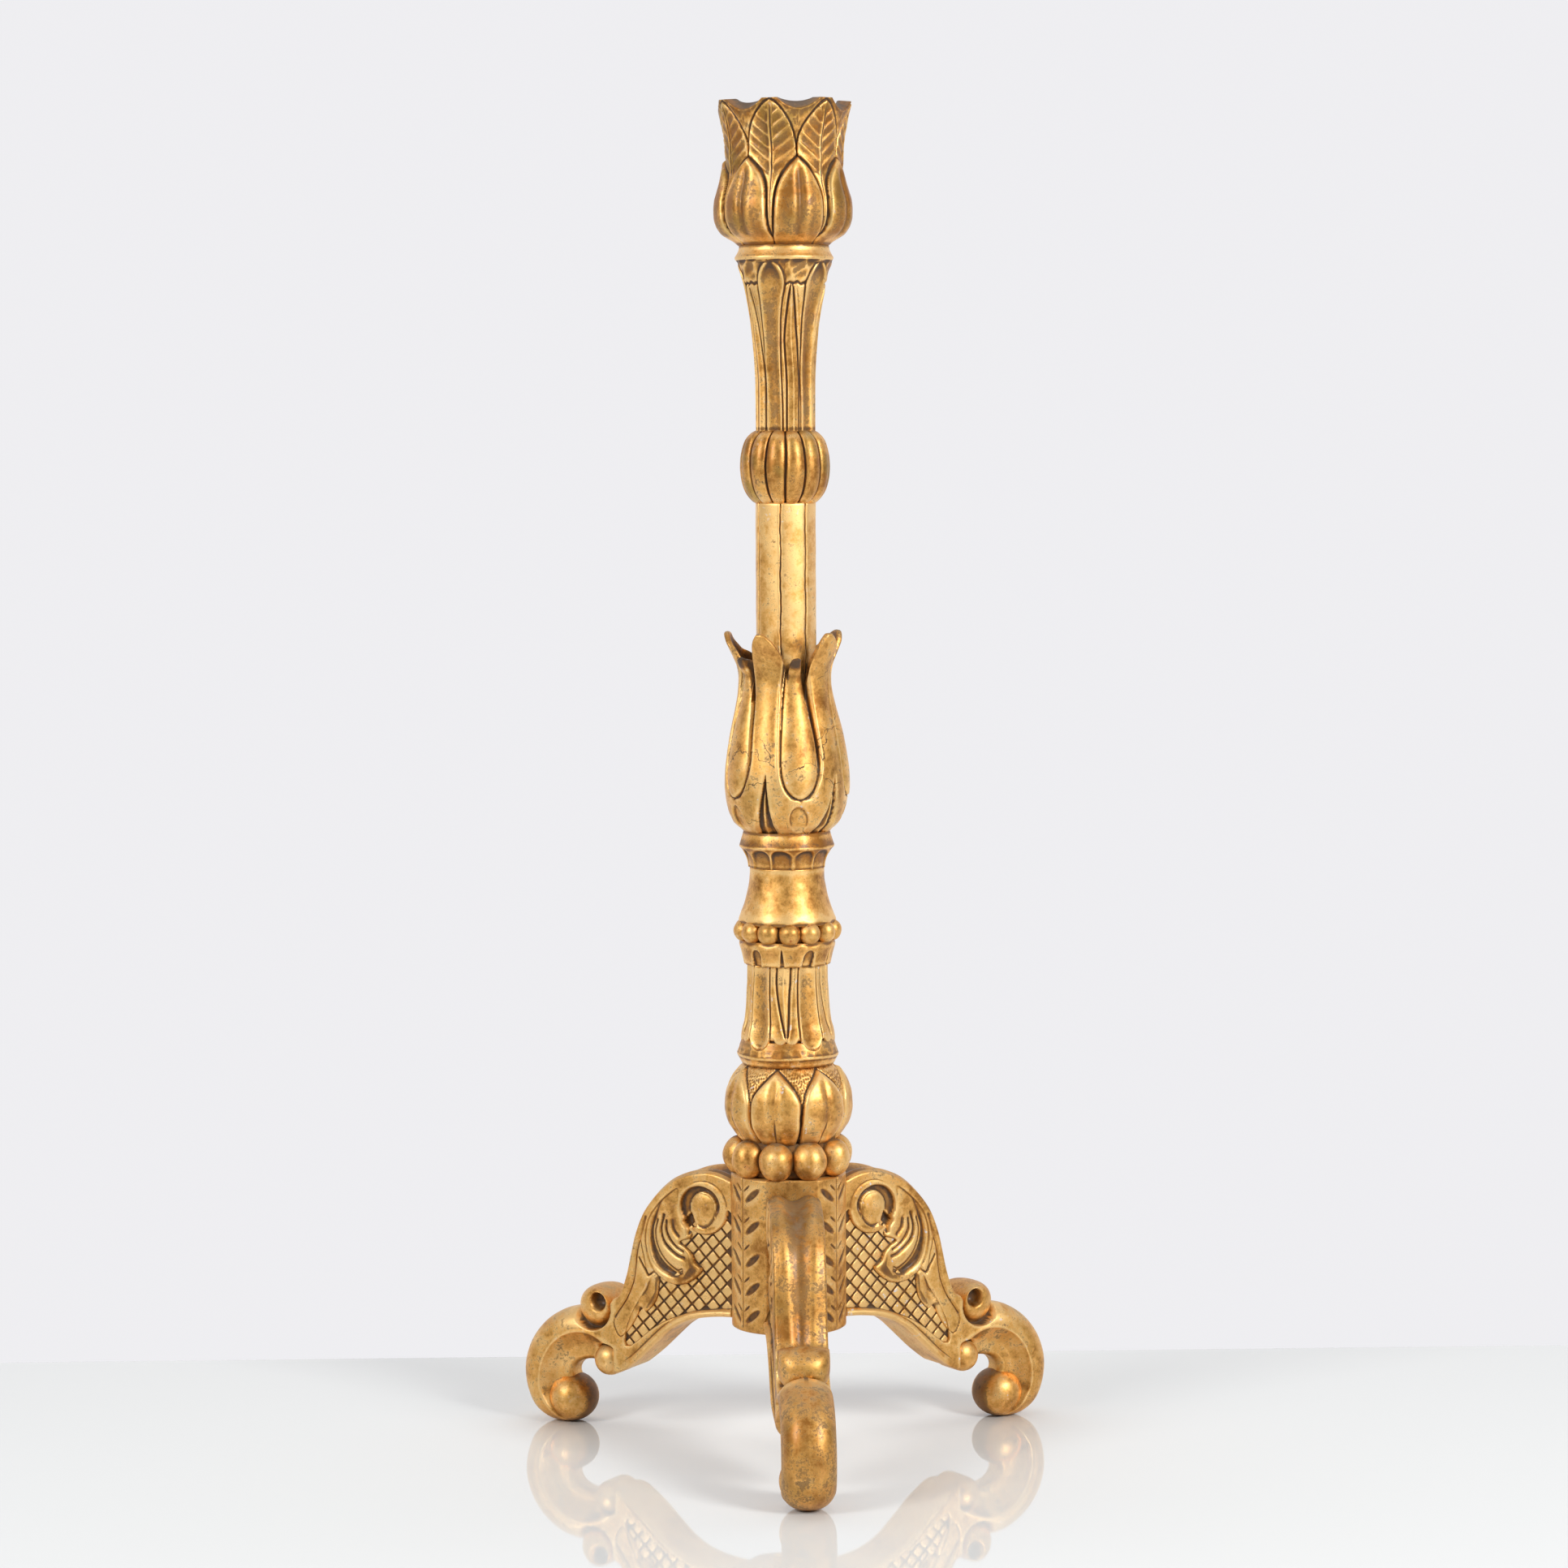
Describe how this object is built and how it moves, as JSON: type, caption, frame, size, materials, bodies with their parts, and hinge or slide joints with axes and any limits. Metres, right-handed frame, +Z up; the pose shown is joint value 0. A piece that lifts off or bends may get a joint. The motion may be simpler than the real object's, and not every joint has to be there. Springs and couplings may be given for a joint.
{
  "type": "candle stand",
  "caption": "Tall carved and gilded wooden candle stand on a scrolled tripod, with a leafy cup that holds one pillar candle.",
  "frame": {"origin": "on the floor, at the middle of the footprint; the stem's axis stands 48.2 mm behind it, at +Y", "axes": "Z up, the front leg points to -Y, X to the right seen from the front"},
  "size_m": [0.4016, 0.3496, 0.9993],
  "materials": {
    "gilt_wood": "carved hardwood, water gilded over bole and gesso, toned and worn, with dark patina in the hollows",
    "bare_wood": "plain turned hardwood, unfinished"
  },
  "bodies": {
    "root": {"candle_cup": "gilt_wood", "cup_dowel": "bare_wood", "neck": "gilt_wood", "knop": "gilt_wood", "shaft": "gilt_wood", "tulip_calyx": "gilt_wood", "calyx_dowel": "bare_wood", "spool_collar": "gilt_wood", "vase_waist": "gilt_wood", "bead_collar": "gilt_wood", "notched_band": "gilt_wood", "waist_dowel": "bare_wood", "fluted_column": "gilt_wood", "collar_band": "gilt_wood", "leaf_bulb": "gilt_wood", "ball_ring": "gilt_wood", "column_dowel": "bare_wood", "hub": "gilt_wood", "front_leg": "gilt_wood", "left_leg": "gilt_wood", "right_leg": "gilt_wood", "leg_dowels": "bare_wood"}
  },
  "joints": []
}
